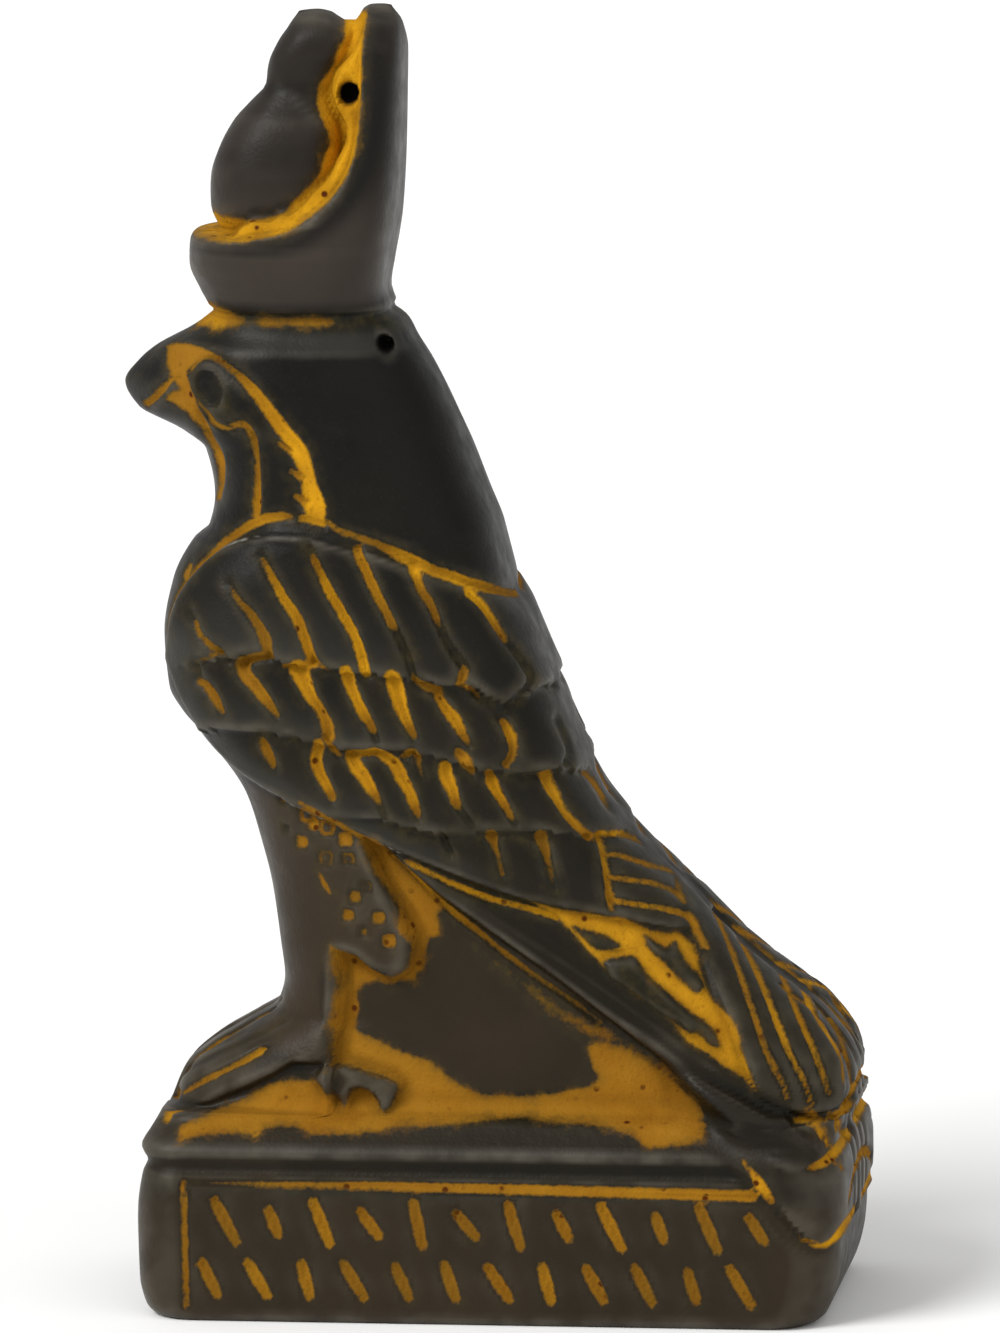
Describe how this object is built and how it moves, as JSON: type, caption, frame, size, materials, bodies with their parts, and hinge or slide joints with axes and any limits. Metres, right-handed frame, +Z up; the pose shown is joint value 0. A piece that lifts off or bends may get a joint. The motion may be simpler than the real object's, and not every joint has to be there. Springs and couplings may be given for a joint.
{
  "type": "horus falcon figure",
  "caption": "Upright figure of a falcon with a double crown, in the ancient Egyptian manner, cast in one with a block-shaped plinth, to stand on a shelf.",
  "frame": {"origin": "on the underside of the plinth, below the middle of the bounding box", "axes": "+Z up; the beak looks along -Y, the tail lies along +Y, and +X is the falcon's left side"},
  "size_m": [0.0454, 0.096, 0.1703],
  "materials": {
    "basalt_look_cast_stone": "near-black cast stone with a satin rub, ochre pigment in the carved grooves, pale worn edges and small casting pits"
  },
  "bodies": {
    "root": {"horus_falcon_figure": "basalt_look_cast_stone"}
  },
  "joints": []
}
